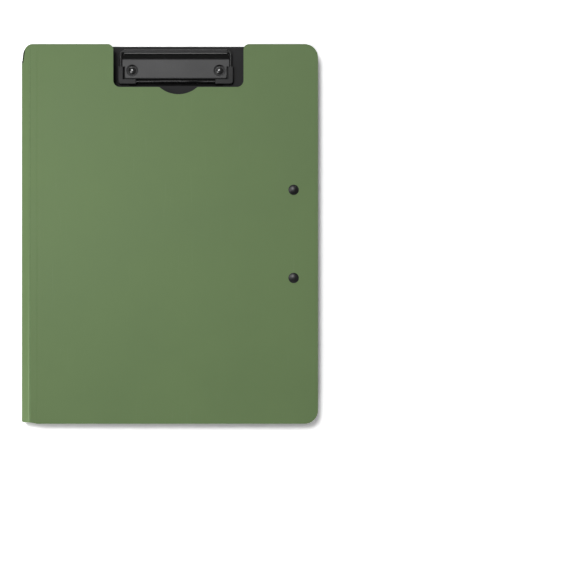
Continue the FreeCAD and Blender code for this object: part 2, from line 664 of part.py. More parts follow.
def clip_sleeve(name, side):
    """An L-shaped moulded sleeve on one front corner of the bail, with the wire's channel through it."""
    body = new_body(name)
    outline = new_sketch(body, "Outline", "XY_Plane", "Places.barrel_radius")
    outside = f"{side} * (Places.leg_side + Sizes.sleeve_width / 2)"
    inside = f"{side} * (Places.leg_side - Sizes.sleeve_width / 2)"
    front = "-Places.front_run - Sizes.sleeve_width / 2"
    back = "-Places.front_run + Sizes.sleeve_width / 2"
    leg_end = f"{front} + Sizes.sleeve_leg"
    front_end = f"{outside} - {side} * Sizes.sleeve_front"
    draw(
        outline,
        [
            (outside, front),
            (outside, leg_end),
            (inside, leg_end),
            (inside, back),
            (front_end, back),
            (front_end, front),
        ],
    )
    pad(body, outline, "Sizes.sleeve_thickness", "Symmetric")
    fillet(body, "Sizes.sleeve_round", [(outside, front)])
    low, high = body.Shape.BoundBox.ZMin, body.Shape.BoundBox.ZMax
    rims = [
        f"Edge{number}"
        for number, edge in enumerate(body.Shape.Edges, start=1)
        if edge.BoundBox.ZLength < 1e-6 and min(abs(edge.BoundBox.ZMin - z) for z in (low, high)) < 1e-6
    ]
    fillet(body, "Sizes.sleeve_edge_round", edges=rims)
    leg = f"{side} * Places.leg_side"
    bend = "Sizes.bail_front_bend"
    beyond = "Places.wire_radius"
    path = new_sketch(body, "WirePath", "XY_Plane", "Places.barrel_radius")
    start = f"{leg_end} + {beyond}"
    mid = f"(1 - cos(45)) * {bend}"
    draw(
        path,
        [
            (leg, start),
            (leg, f"-Places.front_run + {bend}"),
            (f"{leg} - {side} * {bend}", "-Places.front_run"),
            (f"{front_end} - {side} * {beyond}", "-Places.front_run"),
        ],
        arcs={1: (bend, (f"{leg} - {side} * {mid}", f"-Places.front_run + {mid}"))},
        closed=False,
    )
    section = new_sketch(body, "WireSection", "XZ_Plane", f"-({start})")
    circles(section, [(leg, "Places.barrel_radius")], "Places.wire_radius + Sizes.sleeve_clearance")
    channel = body.newObject("PartDesign::SubtractivePipe", "WireChannel")
    channel.Profile = section
    channel.Spine = (path, ["Edge1", "Edge2", "Edge3"])
    doc.recompute()
    return body


def bail_path():
    """The wire's centre line: out of the barrel, down a leg, along the arched front run and back."""
    height, axis_y = value("Places.barrel_radius"), -value("Sizes.barrel_from_edge")
    leg, front = value("Places.leg_side"), -value("Places.front_run")
    rear_bend, front_bend = value("Sizes.bail_rear_bend"), value("Sizes.bail_front_bend")
    rise, run, top = (value(f"Sizes.bail_arch_{part}") for part in ("rise", "run", "top"))
    ease = 1 - math.sqrt(0.5)  # how far a quarter bend's middle stands off its two tangents
    turn = 2 * math.atan2(rise, run)
    sweep = run / (2 * math.sin(turn))
    reach, lift = sweep * math.sin(turn / 2), sweep * (1 - math.cos(turn / 2))
    foot = top / 2 + run
    half = [
        ("line", (value("Sizes.bail_end_gap") / 2, axis_y, height)),
        ("line", (leg - rear_bend, axis_y, height)),
        ("arc", (leg - ease * rear_bend, axis_y - ease * rear_bend, height)),
        ("line", (leg, axis_y - rear_bend, height)),
        ("line", (leg, front + front_bend, height)),
        ("arc", (leg - ease * front_bend, front + ease * front_bend, height)),
        ("line", (leg - front_bend, front, height)),
        ("line", (foot, front, height)),
        ("arc", (foot - reach, front, height + lift)),
        ("line", (foot - run / 2, front, height + rise / 2)),
        ("arc", (top / 2 + reach, front, height + rise - lift)),
        ("line", (top / 2, front, height + rise)),
    ]
    points = [(kind, Vector(*place)) for kind, place in half]
    points += [(kind, Vector(-place.x, place.y, place.z)) for kind, place in reversed(points)]
    edges, here, through = [], points[0][1], None
    for kind, place in points[1:]:
        if kind == "arc":
            through = place
            continue
        curve = Part.Arc(here, through, place) if through else Part.LineSegment(here, place)
        edges.append(curve.toShape())
        here, through = place, None
    return Part.Wire(edges)


def clip_bail(name):
    """The sprung wire bail. Its two ends meet inside the barrel, which is its hinge."""
    path = bail_path()
    start = path.Edges[0].Vertexes[0].Point
    section = Part.Wire(Part.makeCircle(value("Places.wire_radius"), start, Vector(1, 0, 0)))
    bail = doc.addObject("Part::Feature", name)
    bail.Label = name
    bail.Shape = path.makePipeShell([section], True, False)
    expected = path.Length * section.Edges[0].Length ** 2 / (4 * math.pi)
    if abs(bail.Shape.Volume / expected - 1) > 0.01:
        raise RuntimeError(f"{name}: the wire's volume is off by more than 1%")
    return bail


def rivet():
    """One double-cap rivet on the z axis: domed head outside, smaller domed cap in the plate's cup."""
    body = new_body("rivet")
    sketch = new_sketch(body, "Profile", "XZ_Plane")
    seat, cup_floor = "-Sizes.core", "Sizes.clip_sheet"
    head, cap = "Sizes.rivet_head_diameter / 2", "Sizes.rivet_cap_diameter / 2"
    shank = "Sizes.rivet_shank_diameter / 2"

    def dome(radius, height, base, way):
        """The radius of a dome's arc, and a point half way along it."""
        rise = f"({height} - Sizes.rivet_rim)"
        sweep = f"((({radius})^2 + {rise}^2) / (2 * {rise}))"
        half_angle = f"asin({radius} / {sweep}) / 2"
        drop = f"{sweep} * (1 - cos({half_angle}))"
        return sweep, (f"{sweep} * sin({half_angle})", f"{base} + {way} * ({height} - {drop})")

    draw(
        sketch,
        [
            ("0", f"{seat} - Sizes.rivet_head_height"),
            (head, f"{seat} - Sizes.rivet_rim"),
            (head, seat),
            (shank, seat),
            (shank, cup_floor),
            (cap, cup_floor),
            (cap, f"{cup_floor} + Sizes.rivet_rim"),
            ("0", f"{cup_floor} + Sizes.rivet_cap_height"),
        ],
        arcs={
            0: dome(head, "Sizes.rivet_head_height", seat, -1),
            6: dome(cap, "Sizes.rivet_cap_height", cup_floor, 1),
        },
    )
    feature = body.newObject("PartDesign::Revolution", "Revolution")
    feature.Profile = sketch
    feature.ReferenceAxis = (sketch, ["V_Axis"])
    doc.recompute()
    return body


def clip_rivets(name, pattern):
    """A clip's two rivets, a group of two separate solids."""
    group = doc.addObject("Part::Feature", name)
    group.Label = name
    side, y = value("Places.rivet_side"), -value("Places.rivet_from_edge")
    group.Shape = Part.makeCompound([pattern.Shape.translated(Vector(x, y, 0)) for x in (-side, side)])
    return group


pattern = rivet()
for name, ((x, y, z), turn) in CLIPS.items():
    pieces = [
        clip_plate(f"{name}_plate"),
        clip_bail(f"{name}_bail"),
        clip_sleeve(f"{name}_left_sleeve", -1),
        clip_sleeve(f"{name}_right_sleeve", 1),
        clip_rivets(f"{name}_rivets", pattern),
    ]
    for piece in pieces:
        set_place(piece, x, y, z, TURN_OVER, turn)

# Check and write

doc.recompute()
nodes = [o for o in doc.Objects if o.TypeId in ("PartDesign::Body", "Part::Feature") and o is not pattern]
for item in doc.Objects:
    if {"Invalid", "Error"} & set(item.State):
        raise RuntimeError(f"{item.Label} failed: {item.State}")
for node in nodes:
    if node.Shape.isNull() or not node.Shape.isValid():
        raise RuntimeError(f"{node.Label} has no valid shape")
os.makedirs("parts", exist_ok=True)
for node in nodes:
    node.Shape.exportStep(f"parts/{node.Label}.step")
print(f"{len(nodes)} pieces, bail wire {bail_path().Length:.1f} mm long")
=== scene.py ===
# %% [markdown]
# # A clipboard folder, finished for the camera
# The folder is one die-cut sheet, a green skin on a black core, folded round a creased spine. A wire-bail
# clip is riveted inside each board, and a window in the front cover shows the top one.
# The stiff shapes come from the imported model, which is measured here and never changed. What the model
# can't give is made in this script: soft bends in the skin, finishes, light and the camera.

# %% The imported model
import json
import math

import bpy
import numpy as np
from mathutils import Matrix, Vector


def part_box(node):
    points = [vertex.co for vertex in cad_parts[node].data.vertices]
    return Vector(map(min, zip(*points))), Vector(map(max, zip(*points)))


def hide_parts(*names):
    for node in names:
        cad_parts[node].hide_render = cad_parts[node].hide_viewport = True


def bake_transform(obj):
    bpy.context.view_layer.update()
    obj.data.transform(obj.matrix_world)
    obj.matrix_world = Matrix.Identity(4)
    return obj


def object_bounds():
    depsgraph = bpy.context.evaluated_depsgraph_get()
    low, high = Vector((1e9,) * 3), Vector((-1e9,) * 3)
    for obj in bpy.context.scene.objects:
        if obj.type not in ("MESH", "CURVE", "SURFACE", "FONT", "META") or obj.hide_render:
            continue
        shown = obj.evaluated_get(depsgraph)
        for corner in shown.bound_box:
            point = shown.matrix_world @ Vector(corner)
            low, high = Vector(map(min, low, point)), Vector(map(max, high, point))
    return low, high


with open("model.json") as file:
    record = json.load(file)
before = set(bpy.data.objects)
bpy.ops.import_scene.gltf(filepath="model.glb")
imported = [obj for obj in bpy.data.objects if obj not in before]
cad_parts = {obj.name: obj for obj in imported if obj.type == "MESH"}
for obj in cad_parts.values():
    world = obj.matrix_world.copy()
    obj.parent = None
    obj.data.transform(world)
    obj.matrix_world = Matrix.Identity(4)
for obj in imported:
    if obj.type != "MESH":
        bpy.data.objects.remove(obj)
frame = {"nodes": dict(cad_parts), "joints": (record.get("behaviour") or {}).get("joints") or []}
cad_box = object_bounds()
nodes = frame["nodes"]
joints = {joint["name"]: joint for joint in frame["joints"]}
print(f"{len(nodes)} nodes, {len(joints)} joints, box {np.round(cad_box, 4).tolist()}")

# %% [markdown]
# ## Grids and pieces
# Two helpers carry every new shape. The first turns a grid of points into quads, so that any surface that
# is a function of two parameters becomes a mesh without a loop over its points. The second puts the mesh
# into the scene at the origin, with its place in its points, and keeps edges sharper than 40 degrees
# crisp.

# %% Grids and pieces
CRISP = math.radians(40)


def grid_quads(rows, columns, wrap=False):
    """Joins point (i, j) of a grid to (i+1, j), (i+1, j+1) and (i, j+1); wrap closes each row on itself."""
    i, j = np.meshgrid(np.arange(rows - 1), np.arange(columns - (not wrap)), indexing="ij")
    here, beside = i * columns + j, i * columns + (j + 1) % columns
    return np.stack([here, here + columns, beside + columns, beside], axis=-1).reshape(-1, 4)


def make_piece(name, points, faces, finishes, face_finish=0):
    """A smooth-shaded mesh object at the origin, with its finishes in order and one index for each face."""
    mesh = bpy.data.meshes.new(name)
    mesh.from_pydata(np.reshape(points, (-1, 3)).tolist(), [], faces)
    for finish in finishes:
        mesh.materials.append(finish)
    count = len(mesh.polygons)
    mesh.polygons.foreach_set("material_index", np.broadcast_to(face_finish, count).astype(np.int32))
    mesh.polygons.foreach_set("use_smooth", np.ones(count, dtype=bool))
    mesh.set_sharp_from_angle(angle=CRISP)
    mesh.validate()
    piece = bpy.data.objects.new(name, mesh)
    bpy.context.scene.collection.objects.link(piece)
    return piece


print(f"3 by 4 points: {len(grid_quads(3, 4))} quads, wrapped {len(grid_quads(3, 4, wrap=True))}")

# %% [markdown]
# ## Writing finishes as nodes
# A finish is a small graph of nodes. Writing each node and link by hand is long, so `add` makes a node,
# sets its options, and fills or links its sockets by name. Colours are written as they look on a screen,
# from 0 to 255, and `paint` turns them into the linear numbers that a shader takes.


# %% Colours and nodes
def paint(red, green, blue):
    """Screen colour to linear: divide by 12.92 near black, else ((c + 0.055) / 1.055) to the power 2.4."""
    c = np.array([red, green, blue]) / 255
    linear = np.where(c <= 0.04045, c / 12.92, ((c + 0.055) / 1.055) ** 2.4)
    return (*linear.tolist(), 1.0)


def fill(tree, socket, given):
    """Links a socket to another one, or sets its value."""
    if isinstance(given, bpy.types.NodeSocket):
        tree.links.new(given, socket)
    else:
        socket.default_value = given


def add(tree, kind, options=None, **inputs):
    """A new node; an underscore in an input's name stands for a space."""
    node = tree.nodes.new(f"ShaderNode{kind}")
    for option, setting in (options or {}).items():
        setattr(node, option, setting)
    for name, given in inputs.items():
        fill(tree, node.inputs[name.replace("_", " ")], given)
    return node


print(f"128 on the screen is {paint(128, 128, 128)[0]:.3f} to a shader")

# %% [markdown]
# ## Sums and blends
# Most of a finish is arithmetic on masks, which are numbers from 0 to 1 over the surface. These helpers
# make the nodes for it. `coats` is how every colour here is built: a base, with one shade after another
# laid over it where a mask says so.

# %% Sums and blends
MIX_FACTOR, MIX_FIRST, MIX_SECOND, MIX_RESULT = 0, 6, 7, 2  # the Mix node's sockets for colours


def maths(tree, operation, *values):
    """A Math node's result."""
    node = add(tree, "Math", {"operation": operation})
    for socket, given in zip(node.inputs, values):
        fill(tree, socket, given)
    return node.outputs[0]


def blend_colour(tree, factor, first, second):
    """The first colour where factor is 0, the second where it is 1."""
    node = add(tree, "Mix", {"data_type": "RGBA"})
    for index, given in ((MIX_FACTOR, factor), (MIX_FIRST, first), (MIX_SECOND, second)):
        fill(tree, node.inputs[index], given)
    return node.outputs[MIX_RESULT]


def coats(tree, colour, *layers):
    """Lays shades over a colour, one after another, each by its mask times its share."""
    for mask, share, shade in layers:
        colour = blend_colour(tree, maths(tree, "MULTIPLY", mask, share), colour, shade)
    return colour


def spread(tree, given, low, high, to_low=0.0, to_high=1.0):
    """Maps low..high onto to_low..to_high, clamped."""
    node = add(tree, "MapRange", Value=given, From_Min=low, From_Max=high, To_Min=to_low, To_Max=to_high)
    return node.outputs[0]


def fade(tree, distance, full, gone):
    """Mask that is 1 up to one distance and fades to 0 at another."""
    return spread(tree, distance, full, gone, 1.0, 0.0)


def line_mark(tree, distance, at, full, gone):
    """Mask of a line: 1 within full of where the distance is at, fading to 0 at gone to either side."""
    return fade(tree, maths(tree, "ABSOLUTE", maths(tree, "SUBTRACT", distance, at)), full, gone)


helpers = (maths, blend_colour, coats, spread, fade, line_mark)
print("helpers:", ", ".join(helper.__name__ for helper in helpers))

# %% [markdown]
# ## Effects that several finishes share
# Moulded grain, slow mottling, hairline scuffs and worn edges turn up on more than one material, so each
# is a node group with named sockets, built once. A group only gives out masks and heights that change over
# the surface. The shader stays in the material, where an exporter can read it.
# Grain and mottle come first. A picture of real grain would repeat, so both are noise in the piece's own
# space.


# %% Grain and mottle
def new_group(name, inputs, outputs):
    """An empty shader group with float sockets, and a vector input called Place."""
    group = bpy.data.node_groups.new(name, "ShaderNodeTree")
    group.interface.new_socket(name="Place", in_out="INPUT", socket_type="NodeSocketVector")
    for socket, default in inputs.items():
        made = group.interface.new_socket(name=socket, in_out="INPUT", socket_type="NodeSocketFloat")
        made.default_value = default
    for socket in outputs:
        group.interface.new_socket(name=socket, in_out="OUTPUT", socket_type="NodeSocketFloat")
    return group, group.nodes.new("NodeGroupInput").outputs, group.nodes.new("NodeGroupOutput").inputs


def moulded_grain():
    """Height is a pebble pattern with finer noise over it; Fleck is the finer noise alone."""
    group, given, out = new_group("moulded_grain", {"Cells per metre": 2200.0}, ["Height", "Fleck"])
    cells = given["Cells per metre"]
    pebbles = add(group, "TexVoronoi", {"feature": "SMOOTH_F1"}, Vector=given["Place"], Scale=cells)
    finer = maths(group, "MULTIPLY", cells, 2.3)
    noise = add(group, "TexNoise", Vector=given["Place"], Scale=finer, Detail=2.0, Roughness=0.6)
    uneven = maths(group, "MULTIPLY", noise.outputs[0], 0.6)
    fill(group, out["Height"], maths(group, "ADD", pebbles.outputs["Distance"], uneven))
    fill(group, out["Fleck"], spread(group, noise.outputs[0], 0.3, 0.7))
    return group


def slow_mottle():
    """Mask drifts from 0 to 1 over a few centimetres, as handling and uneven pigment do."""
    group, given, out = new_group("slow_mottle", {"Patches per metre": 16.0}, ["Mask"])
    patches = given["Patches per metre"]
    noise = add(group, "TexNoise", Vector=given["Place"], Scale=patches, Detail=4.0, Roughness=0.55)
    fill(group, out["Mask"], spread(group, noise.outputs[0], 0.32, 0.68))
    return group


GROUPS = {make.__name__: make() for make in (moulded_grain, slow_mottle)}
print("shared groups:", ", ".join(GROUPS))

# %% [markdown]
# ## Scuffs and worn edges
# Scratches are noise stretched along one direction. Worn edges need to know where an edge is: the Bevel
# node gives the normal that a rounded edge would have, so where it leans away from the face's own normal,
# an edge is near. Painting wear by hand would look as good, but it would have to be done again after every
# change of shape.


# %% Scuffs and worn edges
def hairline_scuffs():
    """Mask is thin broken scratches: noise stretched along a slanted line, kept only at its peaks."""
    group, given, out = new_group("hairline_scuffs", {"Lines per metre": 900.0}, ["Mask"])
    along = add(group, "Mapping", Vector=given["Place"], Rotation=(0, 0, 0.5), Scale=(1.0, 0.03, 1.0))
    lines = add(group, "TexNoise", Vector=along.outputs[0], Scale=given["Lines per metre"], Detail=1.0)
    breaks = add(group, "TexNoise", Vector=given["Place"], Scale=45.0, Detail=2.0)
    peaks = spread(group, lines.outputs[0], 0.66, 0.74)
    fill(group, out["Mask"], maths(group, "MULTIPLY", peaks, spread(group, breaks.outputs[0], 0.48, 0.6)))
    return group


def worn_edges():
    """Mask is 1 minus the dot of the rounded and the plain normal, widened and broken up by noise."""
    group, given, out = new_group("worn_edges", {"Reach": 0.0004}, ["Mask"])
    rounded = add(group, "Bevel", {"samples": 4}, Radius=given["Reach"])
    plain = add(group, "NewGeometry")
    lean = add(group, "VectorMath", {"operation": "DOT_PRODUCT"})
    fill(group, lean.inputs[0], rounded.outputs[0])
    fill(group, lean.inputs[1], plain.outputs["True Normal"])
    near = spread(group, lean.outputs["Value"], 0.99, 0.8)
    breaks = add(group, "TexNoise", Vector=given["Place"], Scale=350.0, Detail=3.0)
    fill(group, out["Mask"], maths(group, "MULTIPLY", near, spread(group, breaks.outputs[0], 0.35, 0.6)))
    return group


GROUPS.update({make.__name__: make() for make in (hairline_scuffs, worn_edges)})
print("shared groups:", ", ".join(GROUPS))

# %% [markdown]
# ## The finishes
# The folder has six surfaces: a matt green skin with a fine even grain, a matt black core, clip plates in
# satin dark-grey paint, black wire, grey moulded sleeves, and glossy black rivets. All of them are
# dielectrics, so gloss comes from the Principled shader's roughness and coat. Each one gets its grain,
# mottle and wear from the groups at its own scale.


# %% Finish helpers
def new_finish(name, specular=0.5, coat_roughness=0.1):
    """A material with its Principled shader, and the Object coordinates that its patterns read."""
    material = bpy.data.materials.new(name)
    material.use_nodes = True
    tree = material.node_tree
    shader = tree.nodes["Principled BSDF"]
    shader.inputs["Specular IOR Level"].default_value = specular
    shader.inputs["Coat Roughness"].default_value = coat_roughness
    return material, tree, shader.inputs, add(tree, "TexCoord").outputs["Object"]


def effect(tree, name, place, **inputs):
    """A shared group placed in a material; its outputs."""
    node = tree.nodes.new("ShaderNodeGroup")
    node.node_tree = GROUPS[name]
    fill(tree, node.inputs["Place"], place)
    for socket, given in inputs.items():
        fill(tree, node.inputs[socket.replace("_", " ")], given)
    return node.outputs


def relief(tree, height, depth):
    """A Bump node's normal; depth is how far, in metres, a height of 1 stands out."""
    return add(tree, "Bump", Height=height, Distance=depth, Strength=1.0).outputs[0]


FINISHES = {}
print("effects to place in a finish:", len(GROUPS))

# %% [markdown]
# ## Where a point lies
# Many marks lie at measured places: painted shade and a painted highlight along a crease, a painted
# shadow under a wire, a painted highlight on the barrel of a clip. A picture could carry them, but a mask
# that is worked out from where a point lies stays sharp at any distance, and follows the model if its box
# or its joints change.

# %% Where a point lies
MIDWAY = (cad_box[0][2] + cad_box[1][2]) / 2
STRIP_CREASE = joints["front_strip_crease"]["pos_m"][0]


def axes_of(tree, place):
    """A point's own x, y and z."""
    return add(tree, "SeparateXYZ", Vector=place).outputs


def from_midway(tree, place):
    """How far a point lies from the plane half way between the two boards, on either side."""
    return maths(tree, "ABSOLUTE", maths(tree, "SUBTRACT", axes_of(tree, place)["Z"], MIDWAY))


def by_clip(tree, level, top, side):
    """One value below midway, where the top clip lies, and another above it, where the side clip does."""
    on_cover = maths(tree, "GREATER_THAN", level, MIDWAY)
    return maths(tree, "MULTIPLY_ADD", on_cover, maths(tree, "SUBTRACT", side, top), top)


def from_board_edge(tree, place):
    """How far a point of a clip lies from its board's edge: in y for the top clip, in x for the side one."""
    axes = axes_of(tree, place)
    from_top = maths(tree, "SUBTRACT", cad_box[1][1], axes["Y"])
    from_side = maths(tree, "SUBTRACT", cad_box[1][0], axes["X"])
    return by_clip(tree, axes["Z"], from_top, from_side)


print(f"midway between the boards {MIDWAY:.5f}, front strip's crease at x {STRIP_CREASE:.5f}")

# %% [markdown]
# ## Marks on the skin
# Beside the front crease, a dark line past the fold is painted shade in the pressed groove, and a light
# line on the strip's ridge is a painted highlight. The skin's cut edge shows dark along the spine's notch.
# In the groove of the score line the skin's inner face is bare, and it is black like the core. All
# distances are in metres.

# %% Marks on the skin
NOTCH_HIGH, NOTCH_FOOT = 0.006, 0.0154  # below the top edge
EDGE_HIGH, EDGE_FOOT = 0.00202, 0.00047  # the cut edge's line there, from the fold
SCORE_FROM_CREASE = 0.0055
SLACK = 0.0001


def crease_marks(tree, place):
    """Masks of two lines beside a crease, by the distance across it: painted shade and a painted highlight.

    The shade lies in the pressed groove and the highlight on the ridge; the highlight grows from the
    folder's middle towards its foot."""
    axes = axes_of(tree, place)
    across = maths(tree, "SUBTRACT", axes["X"], STRIP_CREASE)
    groove_shade = line_mark(tree, across, at=0.0005, full=0.0003, gone=0.0009)
    ridge = line_mark(tree, across, at=-0.0009, full=0.0002, gone=0.0007)
    # the painted highlight on the ridge grows from y 0 to full 0.12 m towards the folder's foot
    toward_foot = spread(tree, axes["Y"], 0.0, -0.12)
    return groove_shade, maths(tree, "MULTIPLY", ridge, toward_foot)


def cut_edge(tree, place):
    """Mask of the dark cut edge along the notch: a band 0.9 mm wide, beside a line that leans to the fold."""
    axes = axes_of(tree, place)
    from_fold = maths(tree, "SUBTRACT", axes["X"], cad_box[0][0])
    below_top = maths(tree, "SUBTRACT", cad_box[1][1], axes["Y"])
    line = spread(tree, below_top, NOTCH_HIGH, NOTCH_FOOT, EDGE_HIGH, EDGE_FOOT)
    band = fade(tree, maths(tree, "SUBTRACT", from_fold, line), full=0.0008, gone=0.001)
    return maths(tree, "MULTIPLY", band, fade(tree, below_top, full=0.0148, gone=0.0156))


def inner_face(tree, place):
    """Mask of a board skin's inner face: nearer to midway than the skin, and past the score line."""
    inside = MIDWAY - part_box("back_board_skin")[1][2] + SLACK
    short_of_skin = maths(tree, "LESS_THAN", from_midway(tree, place), inside)
    past_spine = maths(tree, "GREATER_THAN", axes_of(tree, place)["X"], STRIP_CREASE + SCORE_FROM_CREASE)
    return maths(tree, "MULTIPLY", short_of_skin, past_spine)


print(f"score line at x {STRIP_CREASE + SCORE_FROM_CREASE:.5f}, notch down to {NOTCH_FOOT} below the top")

# %% [markdown]
# ## Green skin
# The outside is matt polypropylene with a sand grain, and its colour hardly varies. A plain green would
# look like plastic in a drawing, so the mottle moves it a little and the grain flecks it. The marks lie
# over that, some of them painted shade and painted highlight, and the dark ones come last, so that the
# edges' wear and painted highlight don't lighten them.


# %% Green skin
def green_skin():
    """Matt polypropylene: green with slow mottling, a sand grain, painted shade and highlight at a crease.

    Its edges are lighter: part wear, part painted highlight.
    """
    material, tree, shader, place = new_finish("cover_green", specular=0.2)
    grain = effect(tree, "moulded_grain", place, Cells_per_metre=2400.0)
    mottle = effect(tree, "slow_mottle", place, Patches_per_metre=14.0)
    scuffs = effect(tree, "hairline_scuffs", place)
    edges = effect(tree, "worn_edges", place, Reach=0.0004)
    groove_shade, ridge_highlight = crease_marks(tree, place)
    colour = coats(
        tree,
        blend_colour(tree, mottle["Mask"], paint(102, 125, 82), paint(106, 129, 85)),
        (grain["Fleck"], 0.35, paint(97, 119, 79)),
        (scuffs["Mask"], 0.08, paint(128, 150, 112)),
        # painted shade in the crease's pressed groove, then a painted highlight on its ridge
        (groove_shade, 0.35, paint(84, 106, 68)),
        (ridge_highlight, 0.55, paint(134, 158, 114)),
        # edges lightened: part wear, part a painted highlight where the cut edge catches light
        (edges["Mask"], 0.4, paint(136, 156, 122)),
        (cut_edge(tree, place), 0.9, paint(30, 32, 28)),
        (inner_face(tree, place), 1.0, paint(28, 28, 29)),
    )
    fill(tree, shader["Base Color"], colour)
    smooth = spread(tree, mottle["Mask"], 0, 1, 0.5, 0.58)
    fill(tree, shader["Roughness"], maths(tree, "ADD", smooth, maths(tree, "MULTIPLY", grain["Fleck"], 0.1)))
    fill(tree, shader["Normal"], relief(tree, grain["Height"], 0.00003))
    return material


FINISHES["cover_outside"] = green_skin()
print("finish:", FINISHES["cover_outside"].name)

# %% [markdown]
# ## Black core
# The inside is charcoal board with a coarser grain. Under a closed bail's wire a band of painted shadow
# darkens the board, which is duller there too, from 26.5 to 32.6 mm off the board's edge and 39 mm to
# either side of the clip's middle.

# %% Black core
BAIL_SHADOW_LINE = 0.02955


def bail_shadow_band(tree, place):
    """Mask of painted shadow under a closed bail's wire, by distance from the board's edge and along the
    clip.

    Along the clip is across x for the top clip, from its hinge's middle, and across y for the side one."""
    axes = axes_of(tree, place)
    from_middle = maths(tree, "SUBTRACT", axes["X"], joints["top_bail_swing"]["pos_m"][0])
    along = by_clip(tree, axes["Z"], from_middle, axes["Y"])
    band = line_mark(tree, from_board_edge(tree, place), at=BAIL_SHADOW_LINE, full=0.0029, gone=0.0032)
    return maths(tree, "MULTIPLY", band, line_mark(tree, along, at=0.0, full=0.0385, gone=0.0395))


def black_core():
    """Matt black board: charcoal, coarser grain, dusty mottling, grey worn edges, painted shadow under a
    bail.
    """
    material, tree, shader, place = new_finish("core_black", specular=0.2)
    grain = effect(tree, "moulded_grain", place, Cells_per_metre=1700.0)
    mottle = effect(tree, "slow_mottle", place, Patches_per_metre=22.0)
    scuffs = effect(tree, "hairline_scuffs", place, Lines_per_metre=700.0)
    edges = effect(tree, "worn_edges", place, Reach=0.0003)
    bail_shadow = bail_shadow_band(tree, place)
    colour = coats(
        tree,
        blend_colour(tree, mottle["Mask"], paint(30, 30, 31), paint(37, 37, 38)),
        (grain["Fleck"], 0.4, paint(26, 26, 27)),
        (scuffs["Mask"], 0.1, paint(72, 72, 72)),
        (edges["Mask"], 0.25, paint(78, 78, 77)),
        # painted shadow: the board is painted near black under the closed bail's wire
        (bail_shadow, 0.9, paint(4, 4, 4)),
    )
    fill(tree, shader["Base Color"], colour)
    dull = spread(tree, mottle["Mask"], 0, 1, 0.55, 0.68)
    fill(tree, shader["Roughness"], maths(tree, "ADD", dull, maths(tree, "MULTIPLY", bail_shadow, 0.3)))
    fill(tree, shader["Normal"], relief(tree, grain["Height"], 0.00004))
    return material


FINISHES["cover_inside"] = black_core()
print("finish:", FINISHES["cover_inside"].name)

# %% [markdown]
# ## Clip plates
# The plates are stamped steel under satin stove paint. Their relief is in the model, and the colour adds
# what lies on it: painted shade in the hollows behind the raised flat, a darker barrel with a painted
# highlight line along it, and worn edges. The raised flat lies 2.87 mm from midway, so what lies further
# off, nearer the board, is sunk.

# %% Clip plates
SUNK = (0.00292, 0.00315)  # from midway
SHADE_ENDS = (0.016, 0.017)  # from the board's edge, as are the next two
BARREL_ENDS = (0.0066, 0.0076)
BARREL_HIGHLIGHT = 0.0061


def satin_grey():
    """Satin stove paint on the stamped plates: charcoal, faint orange peel, worn edges.

    The hollows behind the raised flat have painted shade, and the barrel a painted highlight line.
    """
    material, tree, shader, place = new_finish("clip_satin_grey", specular=0.2)
    peel = effect(tree, "moulded_grain", place, Cells_per_metre=900.0)
    mottle = effect(tree, "slow_mottle", place, Patches_per_metre=40.0)
    scuffs = effect(tree, "hairline_scuffs", place, Lines_per_metre=1400.0)
    edges = effect(tree, "worn_edges", place, Reach=0.0003)
    from_edge = from_board_edge(tree, place)
    sunk = spread(tree, from_midway(tree, place), *SUNK)
    hollow_shade = maths(tree, "MULTIPLY", sunk, fade(tree, from_edge, *SHADE_ENDS))
    colour = coats(
        tree,
        blend_colour(tree, mottle["Mask"], paint(53, 53, 54), paint(59, 59, 60)),
        (scuffs["Mask"], 0.15, paint(76, 76, 76)),
        (edges["Mask"], 0.3, paint(96, 96, 95)),
        (fade(tree, from_edge, *BARREL_ENDS), 0.8, paint(34, 34, 35)),
        # painted highlight: a light line along the front of the barrel
        (line_mark(tree, from_edge, at=BARREL_HIGHLIGHT, full=0.0002, gone=0.0005), 0.85, paint(150, 150, 150)),
        # painted shade: the hollows behind the raised flat are painted near black
        (hollow_shade, 0.95, paint(6, 6, 6)),
    )
    fill(tree, shader["Base Color"], colour)
    smooth = spread(tree, mottle["Mask"], 0, 1, 0.36, 0.42)
    fill(tree, shader["Roughness"], maths(tree, "ADD", smooth, maths(tree, "MULTIPLY", hollow_shade, 0.5)))
    fill(tree, shader["Normal"], relief(tree, peel["Height"], 0.00001))
    return material


FINISHES["clip_plate"] = satin_grey()
print("finish:", FINISHES["clip_plate"].name)

# %% [markdown]
# ## Wire and sleeves
# The bails are lacquered spring wire, and moulded sleeves cover their corners. Both are thin, so a broad
# pattern would never show on them: their mottle is finer than on the boards. The wire has a soft gloss,
# and the sleeves a spark-eroded grain that dulls them.


# %% Wire and sleeves
def black_wire():
    """Black lacquer on spring wire: a soft gloss, flecked with a little grey where it rubs."""
    material, tree, shader, place = new_finish("bail_black", specular=0.25)
    mottle = effect(tree, "slow_mottle", place, Patches_per_metre=120.0)
    grain = effect(tree, "moulded_grain", place, Cells_per_metre=1500.0)
    colour = blend_colour(tree, mottle["Mask"], paint(15, 15, 16), paint(23, 23, 24))
    fill(tree, shader["Base Color"], coats(tree, colour, (grain["Fleck"], 0.2, paint(38, 38, 38))))
    fill(tree, shader["Roughness"], spread(tree, mottle["Mask"], 0, 1, 0.24, 0.36))
    fill(tree, shader["Normal"], relief(tree, grain["Height"], 0.000006))
    return material


